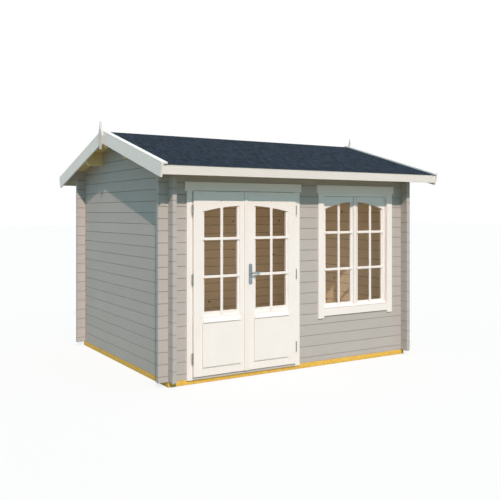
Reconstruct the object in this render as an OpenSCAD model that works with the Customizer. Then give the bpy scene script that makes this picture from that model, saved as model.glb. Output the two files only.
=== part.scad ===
// Log cabin: a room of interlocking wall logs on bearers, under a gabled felt roof, with a
// double glazed door that opens outwards, a fixed double window and a front-facing eave.
// +X runs along the front to the right, +Y to the back, +Z up. The front wall faces -Y.
// The origin is at ground level under the middle of the room. Inside the modules, sizes are
// counted from the outer faces of the left and front walls and from the top of the bearers.

/* [Room] */
// Width over the outer faces of the side walls
body_w = 3000; // [2900:10:3700]
// Depth over the outer faces of the front and back walls
body_d = 2500; // [2000:10:3200]
// Thickness of the wall logs
log_t = 44; // [34:1:60]
// Height of one course of logs
log_h = 114; // [108:1:137]
// Full courses in each side wall below the gable
courses = 18; // [18:1:21]
// Length of the log ends past the wall faces at each corner
log_end = 100; // [70:5:120]
// Width of the tongue along the top of each log
tongue_w = 14; // [8:1:20]
// Height of the tongue
tongue_h = 8; // [4:1:12]
// Bevel along the edges of each log
log_bevel = 3.5; // [1:0.5:6]

/* [Base] */
// Height of the bearers and joists
bearer_h = 52; // [40:1:80]
// Width of a bearer
bearer_w = 60; // [50:1:90]
// Number of joists between the side bearers
joist_count = 4; // [3:1:6]
// Width of a joist
joist_w = 45; // [35:1:70]
// Thickness of the floor boards
floor_t = 19; // [16:1:28]

/* [Roof] */
// Roof pitch in degrees
pitch = 15.65; // [12:0.05:19]
// Overhang of the roof past the side walls, to the outer face of the barge boards
gable_over = 211.5; // [150:0.5:260]
// Overhang of the barge boards past the front and back walls
eave_over = 332; // [250:1:400]
// How far the fascias stand back from the ends of the barge boards
fascia_back = 21; // [10:1:30]
// Thickness of the roof boards
deck_t = 19; // [16:1:24]
// Thickness of the roofing felt
felt_t = 4; // [2:0.5:6]
// Overhang of the felt past the fascias
felt_drip = 9; // [4:1:14]
// Thickness of barge boards, fascias and finials
trim_t = 18; // [14:1:24]
// Height of a barge board, square to the slope
barge_h = 120; // [95:1:150]
// Width of the cap strip on the barge boards
cap_w = 59; // [45:1:80]
// Thickness of the cap strip
cap_t = 16; // [10:1:22]
// Height of a fascia
fascia_h = 90; // [70:1:110]
// Depth by which the roof planes the outer edge of the top front and back logs
top_bevel = 13.7; // [8:0.1:20]
// Width of a purlin
purlin_w = 45; // [35:1:60]
// Height of a purlin at its higher edge
purlin_h = 150; // [120:1:175]
// Distance from the ridge to the near face of each side purlin
purlin_out = 562; // [450:1:700]
// Chamfer at the lower ends of the purlins
purlin_chamfer = 35; // [20:1:60]

/* [Finials] */
// Half width of a finial at its shoulder
finial_half = 68; // [55:1:85]
// Height of a finial's point over the top of the caps
finial_rise = 90; // [60:1:130]
// Depth of the shoulder below the top of the barge boards
finial_drop = 49; // [30:1:70]
// Depth of a finial's tail below the barge boards at the ridge
finial_tail = 66; // [40:1:90]

/* [Door] */
// Middle of the doorway from the outer face of the left wall
door_mid = 845; // [800:1:870]
// Width over both closed leaves
doors_w = 1188; // [1000:2:1200]
// Height of a door leaf
leaf_h = 1782; // [1650:1:1790]
// Thickness of a door leaf
leaf_t = 44; // [36:1:50]
// How far the leaves stand proud of the wall face
leaf_proud = 36; // [26:1:36]
// Running gap round the leaves
leaf_gap = 5; // [5:0.5:8]
// Gap between the two closed leaves
seam_gap = 6.5; // [6.5:0.5:9]
// Width of the outer stile
stile_out = 97; // [80:1:110]
// Width of the meeting stile
stile_in = 85; // [70:1:100]
// Height of the lower edge of the glazed opening over the foot of the leaf
leaf_glass_z = 576; // [520:1:620]
// Height of the mid rail
mid_rail = 62; // [50:1:80]
// Height of the bottom rail
bottom_rail = 86; // [70:1:110]
// Height of the top rail at the middle of the doorway
top_rail = 137.5; // [110:0.5:160]
// Radius of the arch over both leaves
door_arch_r = 2090; // [1800:10:2600]
// Thickness of the glass
glass_t = 4; // [3:1:8]
// Thickness of the lower door panel
panel_t = 18; // [12:1:22]
// Width of the groove round the panel's raised field
panel_groove = 10; // [6:1:16]
// Width of the strip that covers the meeting edge of the left leaf
strip_w = 32; // [24:1:40]
// Thickness of the strip
strip_t = 9; // [6:1:14]

/* [Frames] */
// Thickness of the casing boards
casing_t = 17; // [12:1:22]
// Width of the door casing beside a leaf
door_casing = 57.5; // [45:0.5:70]
// Width of the window casing
window_casing = 76; // [60:1:90]
// Height of the head boards
head_h = 84; // [70:1:100]
// Extra thickness of the head boards
head_proud = 3; // [0:1:8]
// How far the head boards run past the casings
head_side = 21; // [10:1:30]
// Visible thickness of the frame posts
post_t = 28; // [22:1:36]
// Depth by which the frame stops lap the leaves
stop_lap = 15; // [10:1:20]
// How far the casings reach below the top of the bearers
casing_drop = 10; // [0:1:20]

/* [Window] */
// Middle of the window from the outer face of the left wall
window_mid = 2277.5; // [2150:0.5:2280]
// Width between the window casings
window_w = 901; // [760:1:905]
// Height of the foot of the sashes over the top of the bearers
sash_z = 559; // [480:1:640]
// Height of the visible frame head over the sashes
window_head = 33; // [24:1:45]
// How far the sashes stand back from the wall face
sash_back = 18; // [14:1:20]
// Thickness of a sash
sash_t = 36; // [28:1:38]
// Width of the sash stiles
sash_stile = 30; // [24:1:40]
// Height of the bottom rail
sash_rail = 23; // [18:1:34]
// Width of the meeting stiles
sash_meet = 32; // [24:1:40]
// Height of the top rail at the middle of the window
sash_top = 58; // [45:1:70]
// Radius of the arch over both sashes
window_arch_r = 1116; // [1000:2:1340]
// Height of the apron board under the sashes
apron_h = 76; // [60:1:90]
// How far the window casings reach below the apron board
window_casing_drop = 24; // [10:1:40]

/* [Hardware] */
// Radius of a hinge barrel
barrel_r = 8; // [6:0.5:10]
// Height of a hinge barrel
barrel_h = 100; // [80:2:120]
// Radius of a hinge pin
pin_r = 4; // [3:0.5:5]
// Radial clearance of pins and spindle
pin_fit = 0.06; // [0.02:0.01:0.1]
// Height of the lowest hinge over the foot of the leaf
hinge_low = 176; // [140:1:220]
// Height of the middle hinge over the foot of the leaf
hinge_mid = 933; // [850:1:1000]
// Height of the highest hinge over the foot of the leaf
hinge_high = 1600; // [1500:1:1640]
// Width of a handle plate
plate_w = 38; // [30:1:46]
// Height of a handle plate
plate_h = 208; // [160:1:240]
// Thickness of a handle plate
plate_t = 8; // [5:1:12]
// Distance of the spindle from the meeting edge of the right leaf
spindle_in = 29; // [26:1:45]
// Height of the spindle over the foot of the leaf
spindle_z = 972; // [900:1:1050]
// Length of the lever from the spindle
lever_l = 112; // [90:1:130]
// Radius of the lever
lever_r = 9; // [7:0.5:11]
// Reach of the lever from the plate
lever_out = 55; // [45:1:65]
// Radius of the spindle
spindle_r = 5; // [4:0.5:6]

/* [Hidden] */

white = "floralwhite";
log_grey = "silver";
pine = "burlywood";
steel = "slategray";

fit = 0.3;          // gap between pieces that seat on each other
seam = 0.15;        // half the gap between two courses
far = 6000;         // longer than any piece

half_h = log_h / 2;
wall_top = half_h + courses * log_h;
rise = tan(pitch);
slope_up = 1 / cos(pitch);
mid_y = body_d / 2;
soffit_ridge = wall_top - top_bevel + rise * mid_y;
deck_top_ridge = soffit_ridge + deck_t * slope_up;
felt_low_ridge = deck_top_ridge + fit;
felt_top_ridge = felt_low_ridge + felt_t * slope_up;
cap_low_ridge = felt_top_ridge + fit;
cap_top_ridge = cap_low_ridge + cap_t * slope_up;
barge_top_ridge = cap_low_ridge - fit;
barge_low_ridge = barge_top_ridge - barge_h * slope_up;
barge_in = gable_over - trim_t;
fascia_front = eave_over - fascia_back;
fascia_top = deck_top_ridge - rise * (mid_y + fascia_front) - fit;
finial_shoulder = barge_top_ridge - finial_drop;
finial_tip = cap_top_ridge + finial_rise;
finial_foot = barge_low_ridge - finial_tail;
finial_foot_half = 8;

leaf_z = 20;        // foot of the leaves over the top of the bearers
leaf_top = leaf_z + leaf_h;
head_z = leaf_top + leaf_gap;
leaf_front = -leaf_proud;
leaf_back = leaf_front + leaf_t;
door_half = doors_w / 2;
left_end = 2.5;     // meeting edge of the left leaf from the middle of the doorway
right_start = left_end + seam_gap;
casing_in = door_half + leaf_gap;
casing_out = casing_in + door_casing;
post_out = casing_in + post_t;
stop_y = leaf_back + leaf_gap;
stop_in = door_half - stop_lap;
frame_back = log_t;
stop_head = leaf_top - stop_lap;
frame_top = head_z + post_t;
sill_top = leaf_z - leaf_gap;
sill_stop = leaf_z + 7;
opening_side = 3;   // room for the logs to settle beside the frames
opening_top = frame_top + opening_side;
door_open_l = door_mid - post_out - opening_side;
door_open_r = door_mid + post_out + opening_side;
arch_top_z = leaf_top - top_rail;

window_half = window_w / 2;
sash_top_z = head_z - window_head - 2;
apron_top = sash_z - 3;
apron_low = apron_top - apron_h;
window_post_out = window_half + post_t;
window_open_l = window_mid - window_post_out - opening_side;
window_open_r = window_mid + window_post_out + opening_side;
window_open_z = apron_top - post_t - fit;
window_arch_z = sash_top_z - sash_top;
sash_seam = 0.5;
window_glass_z = sash_z + sash_rail;

hinge_x = 10;       // distance of a hinge axis from the leaf's edge
hinge_y = leaf_front + 6;
flap_t = 1.6;       // thickness of a hinge flap
stile_x0 = -door_half + stile_out;
stile_x1 = -stile_in;
hinge_zs = [leaf_z + hinge_low, leaf_z + hinge_mid, leaf_z + hinge_high];
spindle_x = door_mid + right_start + spindle_in;
lever_z = leaf_z + spindle_z;
plate_z = lever_z - 12;
front_lever_y = leaf_front - plate_t - lever_out + lever_r;
back_lever_y = leaf_back + plate_t + lever_out - lever_r;

// Moves what is counted from the wall corner to the cabin's origin
module placed() { translate([-body_w / 2, -body_d / 2, bearer_h]) children(); }

// Extrudes an outline drawn in x and z between two y values
module plate_xz(y0, y1) {
    translate([0, y1, 0]) rotate([90, 0, 0]) linear_extrude(y1 - y0) children();
}

// Extrudes an outline drawn in y and z between two x values
module plate_yz(x0, x1) {
    translate([x0, 0, 0]) rotate([90, 0, 90]) linear_extrude(x1 - x0) children();
}

// A box between two corners
module block(a, b) { translate(a) cube(b - a); }

// A rectangle between two corners
module rect(a, b) { translate(a) square(b - a); }

// Heights of the underside of the roof
function soffit_z(y) = soffit_ridge - rise * abs(y - mid_y);

// Section of a log between two heights, with a tongue above and a groove below
module log_section(z0, z1) {
    lo = z0 + seam;
    hi = z1 - seam;
    mid = log_t / 2;
    tw = tongue_w / 2;
    gw = tongue_w / 2 + fit;
    b = log_bevel;
    gh = tongue_h + fit;
    polygon([[b, lo], [0, lo + b], [0, hi - b], [b, hi],
             [mid - tw, hi], [mid - tw + 1, hi + tongue_h],
             [mid + tw - 1, hi + tongue_h], [mid + tw, hi], [log_t - b, hi], [log_t, hi - b],
             [log_t, lo + b], [log_t - b, lo], [mid + gw, lo], [mid + gw - 1, lo + gh],
             [mid - gw + 1, lo + gh], [mid - gw, lo]]);
}

// Outline of the space under the roof boards, in y and z
module under_roof() {
    polygon([[-eave_over, -log_h], [body_d + eave_over, -log_h],
             [body_d + eave_over, soffit_z(body_d + eave_over) - fit],
             [mid_y, soffit_ridge - fit], [-eave_over, soffit_z(-eave_over) - fit]]);
}

// Bottom and top of course k of the front and back walls, which start with a half log
function front_z(k) = k == 0 ? [0, half_h] : [half_h + (k - 1) * log_h, half_h + k * log_h];
function front_neck(k) = k == 0 ? [0, half_h / 2] : [k * log_h - half_h / 2, k * log_h + half_h / 2];
// Bottom and top of course j of the side walls and gables
function side_z(j) = [j * log_h, (j + 1) * log_h];
function side_neck(j) = [j * log_h + half_h / 2, (j + 1) * log_h - half_h / 2];

// Space that a crossing wall takes out of a log above and below its neck
module neck_cut(a0, a1, neck, z) {
    top = z[1] + tongue_h + 1;
    translate([a0, neck[1] - seam]) square([a1 - a0, top - neck[1]]);
    if (neck[0] > z[0]) translate([a0, z[0] - 1]) square([a1 - a0, neck[0] - z[0] + 1 + seam]);
}

// One log along x in the wall whose outer face is at y = 0
module log_x(k, x0, x1, left_corner, right_corner) {
    z = front_z(k);
    difference() {
        plate_yz(x0, x1) log_section(z[0], z[1]);
        plate_xz(-1, log_t + 1) {
            if (left_corner) neck_cut(-fit, log_t + fit, front_neck(k), z);
            if (right_corner) neck_cut(body_w - log_t - fit, body_w + fit, front_neck(k), z);
        }
    }
}

// The top log of the front or back wall runs out to the barge boards and is planed to the roof
module top_log() {
    intersection() {
        log_x(courses, -barge_in + fit, body_w + barge_in - fit, true, true);
        plate_yz(-far, far) under_roof();
    }
}

// One log along y in the wall whose outer face is at x = 0
module log_y(j, y0, y1) {
    z = side_z(j);
    difference() {
        plate_xz(y0, y1) log_section(z[0], z[1]);
        plate_yz(-1, log_t + 1) {
            neck_cut(-fit, log_t + fit, side_neck(j), z);
            neck_cut(body_d - log_t - fit, body_d + fit, side_neck(j), z);
        }
    }
}

// Turns a piece drawn at the front or left wall to the opposite wall
module at_back() { translate([0, body_d, 0]) mirror([0, 1, 0]) children(); }
module at_right() { translate([body_w, 0, 0]) mirror([1, 0, 0]) children(); }

module bearers() {
    color("goldenrod") placed() {
        block([0, 0, -bearer_h], [body_w, bearer_w, 0]);
        block([0, body_d - bearer_w, -bearer_h], [body_w, body_d, 0]);
        block([0, bearer_w + fit, -bearer_h], [bearer_w, body_d - bearer_w - fit, 0]);
        block([body_w - bearer_w, bearer_w + fit, -bearer_h], [body_w, body_d - bearer_w - fit, 0]);
    }
}

module joists() {
    step = (body_w - bearer_w) / (joist_count + 1);
    color("goldenrod") placed()
        for (i = [1:joist_count]) translate([bearer_w / 2 + i * step - joist_w / 2, 0, 0])
            block([0, bearer_w + fit, -bearer_h], [joist_w, body_d - bearer_w - fit, 0]);
}

module floor() {
    color(pine) placed()
        block([log_t + fit, log_t + fit, fit], [body_w - log_t - fit, body_d - log_t - fit, floor_t]);
}

// True where a course lies wholly beside an opening
function beside_door(k) = front_z(k)[1] < opening_top;
function beside_window(k) = front_z(k)[0] >= window_open_z && front_z(k)[1] < opening_top;
// True where a course is only notched by the openings' heads
function is_lintel(k) = front_z(k)[0] < opening_top && front_z(k)[1] >= opening_top;

module window_hole() {
    block([window_open_l, -1, window_open_z], [window_open_r, log_t + 1, opening_top]);
}

module front_wall_left() {
    color(log_grey) placed()
        for (k = [0:courses]) if (beside_door(k)) log_x(k, -log_end, door_open_l, true, false);
}

module front_wall_middle() {
    color(log_grey) placed()
        for (k = [0:courses]) if (beside_window(k)) log_x(k, door_open_r, window_open_l, false, false);
}

module front_wall_right() {
    color(log_grey) placed()
        for (k = [0:courses]) if (beside_window(k))
            log_x(k, window_open_r, body_w + log_end, false, true);
}

module front_wall_low() {
    color(log_grey) placed() difference() {
        for (k = [0:courses]) if (beside_door(k) && !beside_window(k))
            log_x(k, door_open_r, body_w + log_end, false, true);
        window_hole();
    }
}

module front_wall_lintel() {
    color(log_grey) placed() difference() {
        for (k = [0:courses]) if (is_lintel(k)) log_x(k, -log_end, body_w + log_end, true, true);
        window_hole();
        block([door_open_l, -1, 0], [door_open_r, log_t + 1, opening_top]);
    }
}

module front_wall_top() {
    color(log_grey) placed() {
        for (k = [0:courses - 1]) if (front_z(k)[0] >= opening_top)
            log_x(k, -log_end, body_w + log_end, true, true);
        top_log();
    }
}

module back_wall() {
    color(log_grey) placed() at_back() {
        for (k = [0:courses - 1]) log_x(k, -log_end, body_w + log_end, true, true);
        top_log();
    }
}

module side_wall() {
    for (j = [0:courses - 1]) log_y(j, -log_end, body_d + log_end);
}

module left_wall() { color(log_grey) placed() side_wall(); }
module right_wall() { color(log_grey) placed() at_right() side_wall(); }

// Logs of a gable, planed to the roof and pocketed for the purlins
module gable() {
    last = ceil((soffit_ridge - 2) / log_h) - 1;
    intersection() {
        for (j = [courses:last]) difference() {
            log_y(j, 0, body_d);
            plate_yz(-1, log_t + 1) {
                ridge_pocket(fit);
                side_pocket(fit);
            }
        }
        plate_yz(-1, log_t + 1) under_roof();
    }
}

module left_gable() { color(log_grey) placed() gable(); }
module right_gable() { color(log_grey) placed() at_right() gable(); }

// Sections of the purlins, grown by a clearance for their pockets
module ridge_pocket(c) {
    half = purlin_w / 2 + c;
    rect([mid_y - half, soffit_ridge - purlin_h - c], [mid_y + half, soffit_ridge + c]);
}

module side_pocket(c) {
    low = soffit_z(mid_y - purlin_out) - purlin_h;
    for (side = [-1, 1]) translate([mid_y + side * (purlin_out + purlin_w / 2), 0])
        rect([-purlin_w / 2 - c, low - c], [purlin_w / 2 + c, low + purlin_h + c]);
}

// Cuts purlins to length, with a chamfer under each end
module purlin_ends(low) {
    x0 = -barge_in + fit;
    x1 = body_w + barge_in - fit;
    c = purlin_chamfer;
    plate_xz(-far, far) polygon([[x0, low + c], [x0 + c, low - 1], [x1 - c, low - 1], [x1, low + c],
                                 [x1, low + far], [x0, low + far]]);
}

module ridge_purlin() {
    color(pine) placed() intersection() {
        plate_yz(-far, far) intersection() { ridge_pocket(0); under_roof(); }
        purlin_ends(soffit_ridge - purlin_h);
    }
}

module side_purlins() {
    color(pine) placed() intersection() {
        plate_yz(-far, far) intersection() { side_pocket(0); under_roof(); }
        purlin_ends(soffit_z(mid_y - purlin_out) - purlin_h);
    }
}

// One layer on the front slope: from a distance past the wall up to the ridge
module slope_layer(low_ridge, thickness, over, x0, x1) {
    y1 = mid_y - seam;
    drop = thickness * slope_up;
    z0 = low_ridge - rise * (mid_y + over);
    z1 = low_ridge - rise * seam;
    plate_yz(x0, x1) polygon([[-over, z0], [y1, z1], [y1, z1 + drop], [-over, z0 + drop]]);
}

module roof_boards() {
    x_end = barge_in - fit;
    slope_layer(soffit_ridge, deck_t, fascia_front - trim_t - fit, -x_end, body_w + x_end);
}

module felt() {
    x_end = barge_in - fit;
    slope_layer(felt_low_ridge, felt_t, fascia_front + felt_drip, -x_end, body_w + x_end);
}

module front_roof_boards() { color(pine) placed() roof_boards(); }
module back_roof_boards() { color(pine) placed() at_back() roof_boards(); }
module front_felt() { color("darkslategray") placed() felt(); }
module back_felt() { color("darkslategray") placed() at_back() felt(); }

module fascia() {
    x_end = barge_in - fit;
    low = fascia_top - fascia_h;
    block([-x_end, -fascia_front, low], [body_w + x_end, trim_t - fascia_front, fascia_top]);
}

module fascias() {
    color(white) placed() {
        fascia();
        at_back() fascia();
    }
}

// Outline of a board along the front slope, square at its lower end and mitred at the ridge
module slope_board(low_ridge, height) {
    y1 = mid_y - seam;
    z1 = low_ridge - rise * seam;
    top_y = -eave_over;
    top_z = low_ridge + height * slope_up - rise * (mid_y + eave_over);
    polygon([[top_y + height * sin(pitch), top_z - height * cos(pitch)], [y1, z1],
             [y1, z1 + height * slope_up], [top_y, top_z]]);
}

module barge_boards() {
    for (back = [0, 1]) translate([0, back * body_d, 0]) mirror([0, back, 0])
        plate_yz(-gable_over, -barge_in) slope_board(barge_low_ridge, barge_h);
}

module left_barge_boards() { color(white) placed() barge_boards(); }
module right_barge_boards() { color(white) placed() at_right() barge_boards(); }

module barge_caps() {
    color(white) placed()
        for (right = [0, 1], back = [0, 1])
            translate([right * body_w, back * body_d, 0]) mirror([right, 0, 0]) mirror([0, back, 0])
                plate_yz(-gable_over, -gable_over + cap_w) slope_board(cap_low_ridge, cap_t);
}

// Half width of a finial above its shoulder, at a share of the way to its point
function finial_w(s) = finial_half * pow(1 - s, 1.6) + 1.5 * s;

// Outline of a finial: a tapering tail, a shoulder and a long hollow-sided point
module finial_shape() {
    steps = 12;
    height = finial_tip - finial_shoulder;
    right_side = [for (i = [0:steps]) [finial_w(i / steps), finial_shoulder + height * i / steps]];
    left_side = [for (i = [steps:-1:0]) [-finial_w(i / steps), finial_shoulder + height * i / steps]];
    tail = [[-finial_foot_half, finial_foot], [finial_foot_half, finial_foot]];
    polygon(concat(tail, right_side, left_side));
}

module finials() {
    x0 = -gable_over - fit;
    color(white) placed() for (right = [0, 1]) translate([right * body_w, mid_y, 0]) mirror([right, 0, 0])
        plate_yz(x0 - trim_t, x0) finial_shape();
}

// One post of the door frame, with the stop that the leaf closes on
module door_post() {
    block([-post_out, fit, sill_top + fit], [-casing_in, stop_y - fit, frame_top]);
    block([-post_out, fit, sill_stop + fit], [-casing_in, frame_back, frame_top]);
    block([-post_out, stop_y, sill_stop + fit], [-stop_in, frame_back, frame_top]);
}

module door_frame() {
    color(white) placed() translate([door_mid, 0, 0]) {
        for (right = [0, 1]) mirror([right, 0, 0]) door_post();
        block([-casing_in + fit, fit, head_z], [casing_in - fit, stop_y - fit, frame_top]);
        block([-stop_in + fit, fit, head_z], [stop_in - fit, frame_back, frame_top]);
        block([-stop_in + fit, stop_y, stop_head], [stop_in - fit, frame_back, frame_top]);
    }
}

module door_sill() {
    color(white) placed() translate([door_mid, 0, 0]) {
        plate_yz(-casing_in + fit, casing_in - fit)
            polygon([[-casing_t, -casing_drop], [-fit, -casing_drop], [-fit, fit], [stop_y, fit],
                     [stop_y, sill_top], [-casing_t, sill_top]]);
        plate_yz(-post_out, post_out)
            polygon([[fit, fit], [frame_back, fit], [frame_back, sill_stop], [stop_y, sill_stop],
                     [stop_y, sill_top], [fit, sill_top]]);
    }
}

// Board over a door or a window
module head_board(half) {
    block([-half, -casing_t - head_proud, head_z], [half, 0, head_z + head_h]);
}

module door_casing() {
    color(white) placed() translate([door_mid, 0, 0]) {
        for (right = [0, 1]) mirror([right, 0, 0]) difference() {
            block([-casing_out, -casing_t, -casing_drop], [-casing_in, 0, head_z - fit]);
            for (z = hinge_zs) post_flap(z, 1, fit);
        }
        head_board(casing_out + head_side);
    }
}

// Casings round both openings inside the room
module inside_casings() {
    y0 = log_t + fit;
    y1 = y0 + casing_t;
    color(white) placed() {
        translate([door_mid, 0, 0]) {
            for (right = [0, 1]) mirror([right, 0, 0])
                block([-casing_out, y0, floor_t + fit], [-stop_in, y1, head_z - fit]);
            block([-casing_out, y0, head_z], [casing_out, y1, head_z + head_h]);
        }
        translate([window_mid, 0, 0]) {
            outer = window_half + window_casing;
            for (right = [0, 1]) mirror([right, 0, 0])
                block([-outer, y0, apron_low], [-window_half, y1, head_z - fit]);
            block([-outer, y0, head_z], [outer, y1, head_z + head_h]);
            block([-window_half + fit, y0, apron_low], [window_half - fit, y1, apron_top]);
        }
    }
}

// Frame of a window with four members round the sashes
module window_frame() {
    low = apron_top - post_t;
    color(white) placed() translate([window_mid, 0, 0]) {
        for (right = [0, 1]) mirror([right, 0, 0])
            block([-window_post_out, fit, low], [-window_half, frame_back, frame_top]);
        block([-window_half + fit, fit, sash_top_z + 2], [window_half - fit, frame_back, frame_top]);
        block([-window_half + fit, fit, low], [window_half - fit, frame_back, apron_top]);
    }
}

module window_casing() {
    outer = window_half + window_casing;
    color(white) placed() translate([window_mid, 0, 0]) {
        for (right = [0, 1]) mirror([right, 0, 0])
            block([-outer, -casing_t, apron_low - window_casing_drop], [-window_half, 0, head_z - fit]);
        head_board(outer + head_side);
        block([-window_half + fit, -casing_t, apron_low], [window_half - fit, 0, apron_top]);
    }
}

// Outline under an arch whose crown is at the middle of both leaves or sashes
module arched(x0, x1, z0, crown_z, r) {
    intersection() {
        rect([x0, z0], [x1, crown_z + 1]);
        translate([0, crown_z - r]) circle(r, $fn = 256);
    }
}

// Glazed opening of the left sash, seen from the middle of the window
module sash_opening(c) {
    arched(-window_half + sash_stile + fit + c, -sash_meet - c, window_glass_z + c,
           window_arch_z - c, window_arch_r - c);
}

module window_sashes() {
    y0 = sash_back;
    color(white) placed() translate([window_mid, 0, 0]) {
        for (right = [0, 1]) mirror([right, 0, 0])
            plate_xz(y0, y0 + sash_t) difference() {
                rect([-window_half + fit, sash_z - 2.7], [-sash_seam, sash_top_z + 1.7]);
                sash_opening(0);
            }
        block([-strip_w / 2, y0 - strip_t, sash_z], [strip_w / 2, y0 - fit, sash_top_z]);
    }
}

module window_glass() {
    y0 = sash_back + 14;
    color("lightblue", 0.35) placed() translate([window_mid, 0, 0])
        for (right = [0, 1]) mirror([right, 0, 0]) plate_xz(y0, y0 + glass_t) sash_opening(fit);
}

// Outer outline of a leaf, from its outer edge to its meeting edge
module leaf_outline(x0, x1) { rect([x0, leaf_z], [x1, leaf_top]); }

// Glazed opening of the left leaf between its stiles, shrunk by a clearance
module leaf_glazing(c) {
    arched(stile_x0 + c, stile_x1 - c, leaf_z + leaf_glass_z + c, arch_top_z - c, door_arch_r - c);
}

// Panel opening of the left leaf between its stiles, shrunk by a clearance
module leaf_panel_hole(c) {
    top = leaf_z + leaf_glass_z - mid_rail;
    rect([stile_x0 + c, leaf_z + bottom_rail + c], [stile_x1 - c, top - c]);
}

// Frame of the left leaf from its outer to its meeting edge, with the hinge flaps let in
module leaf_frame(meeting_edge) {
    difference() {
        plate_xz(leaf_front, leaf_back) difference() {
            leaf_outline(-door_half, meeting_edge);
            leaf_glazing(0);
            leaf_panel_hole(0);
        }
        for (z = hinge_zs) leaf_flap(z, 1, fit);
    }
}

module leaf_pane() {
    y0 = leaf_front + 20;
    plate_xz(y0, y0 + glass_t) leaf_glazing(fit);
}

// Lower panel of a leaf, with a raised field that leaves a groove along the frame
module leaf_panel() {
    y0 = leaf_front + 14;
    plate_xz(y0, y0 + panel_t) leaf_panel_hole(fit);
    plate_xz(leaf_front + 3, y0 + 1) leaf_panel_hole(panel_groove);
}

// Places door pieces, whose x is counted from the middle of the doorway
module door_place() { placed() translate([door_mid, 0, 0]) children(); }

module left_leaf() { color(white) door_place() leaf_frame(left_end); }
module left_leaf_panel() { color(white) door_place() leaf_panel(); }
module left_leaf_glass() { color("lightblue", 0.35) door_place() leaf_pane(); }

module right_leaf() {
    color(white) difference() {
        door_place() mirror([1, 0, 0]) leaf_frame(-right_start);
        spindle_hole(spindle_r + 3);
    }
}
module right_leaf_panel() { color(white) door_place() mirror([1, 0, 0]) leaf_panel(); }
module right_leaf_glass() { color("lightblue", 0.35) door_place() mirror([1, 0, 0]) leaf_pane(); }

module meeting_strip() {
    color(white) door_place()
        block([left_end - strip_w, leaf_front - strip_t, leaf_z], [left_end, leaf_front, leaf_top]);
}

// A cylinder along y on the spindle's line, longer than the leaf
module spindle_hole(r) {
    placed() translate([spindle_x, far / 2, lever_z]) rotate([90, 0, 0]) cylinder(r = r, h = far, $fn = 48);
}

// Flap of a hinge, let into the inner edge of the casing; drawn wider in x by a and round it by c
module post_flap(z, a, c) {
    block([-casing_in - flap_t, hinge_y - 1, z - barrel_h / 2 - c], [-casing_in + a, -2 + c, z + c]);
}

// Lower halves of the hinges, fixed to the casing, with their pins
module post_hinge(z) {
    x = -door_half - hinge_x;
    low = z - barrel_h / 2;
    translate([x, hinge_y, low]) cylinder(r = barrel_r, h = barrel_h / 2, $fn = 48);
    translate([x, hinge_y, low + barrel_h / 2 - 1]) cylinder(r = pin_r, h = barrel_h / 2 - 7, $fn = 48);
    post_flap(z, 0, 0);
}

module frame_hinges() {
    color(steel) door_place()
        for (right = [0, 1], z = hinge_zs) mirror([right, 0, 0]) post_hinge(z);
}

// Flap of a hinge, let into the edge of a leaf; drawn wider in x by a and round it by c
module leaf_flap(z, a, c) {
    top = z + barrel_h / 2 + c;
    block([-door_half - a, hinge_y - 1 - c, z + 0.5 - c], [-door_half + flap_t, leaf_back - 3 + c, top]);
}

// Upper halves of the hinges, fixed to the edge of a leaf, with bores for the pins
module leaf_hinge(z) {
    x = -door_half - hinge_x;
    low = z + 0.5;
    difference() {
        union() {
            translate([x, hinge_y, low]) cylinder(r = barrel_r, h = barrel_h / 2 - 0.5, $fn = 48);
            leaf_flap(z, 0, 0);
            block([x, hinge_y - 1, low], [-door_half + 1, hinge_y + 1, z + barrel_h / 2]);
        }
        translate([x, hinge_y, low - 1]) cylinder(r = pin_r + pin_fit, h = barrel_h / 2 - 6, $fn = 48);
    }
}

module left_leaf_hinges() {
    color(steel) door_place() for (z = hinge_zs) leaf_hinge(z);
}

module right_leaf_hinges() {
    color(steel) door_place() mirror([1, 0, 0]) for (z = hinge_zs) leaf_hinge(z);
}

// A handle plate with round ends between two y values
module handle_plate(y0, y1) {
    r = plate_w / 2;
    plate_xz(y0, y1) {
        rect([-r, -plate_h / 2 + r], [r, plate_h / 2 - r]);
        for (end = [-1, 1]) translate([0, end * (plate_h / 2 - r)]) circle(r, $fn = 64);
    }
}

module handle_plates() {
    color(steel) difference() {
        placed() translate([spindle_x, 0, plate_z]) {
            handle_plate(leaf_front - plate_t, leaf_front);
            handle_plate(leaf_back, leaf_back + plate_t);
        }
        spindle_hole(lever_r + pin_fit);
    }
}

// Lever on one side of the door: its neck and its grip
module lever(y_face, y_axis) {
    low = min(y_face, y_axis);
    translate([0, low, 0]) rotate([-90, 0, 0]) cylinder(r = lever_r, h = abs(y_axis - y_face), $fn = 48);
    translate([0, y_axis, 0]) {
        sphere(r = lever_r, $fn = 48);
        rotate([0, 90, 0]) cylinder(r = lever_r, h = lever_l - lever_r, $fn = 48);
        translate([lever_l - lever_r, 0, 0]) sphere(r = lever_r, $fn = 48);
    }
}

module lever_handle() {
    color(steel) placed() translate([spindle_x, 0, lever_z]) {
        translate([0, leaf_front - 2, 0]) rotate([-90, 0, 0])
            cylinder(r = spindle_r, h = leaf_t + 4, $fn = 48);
        lever(leaf_front - 1, front_lever_y);
        lever(leaf_back + 1, back_lever_y);
    }
}

bearers();
joists();
floor();
front_wall_left();
front_wall_middle();
front_wall_right();
front_wall_low();
front_wall_lintel();
front_wall_top();
back_wall();
left_wall();
right_wall();
left_gable();
right_gable();
ridge_purlin();
side_purlins();
front_roof_boards();
back_roof_boards();
front_felt();
back_felt();
fascias();
left_barge_boards();
right_barge_boards();
barge_caps();
finials();
door_frame();
door_sill();
door_casing();
inside_casings();
frame_hinges();
window_frame();
window_casing();
window_sashes();
window_glass();
left_leaf();
left_leaf_panel();
left_leaf_glass();
left_leaf_hinges();
meeting_strip();
right_leaf();
right_leaf_panel();
right_leaf_glass();
right_leaf_hinges();
handle_plates();
lever_handle();
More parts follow.
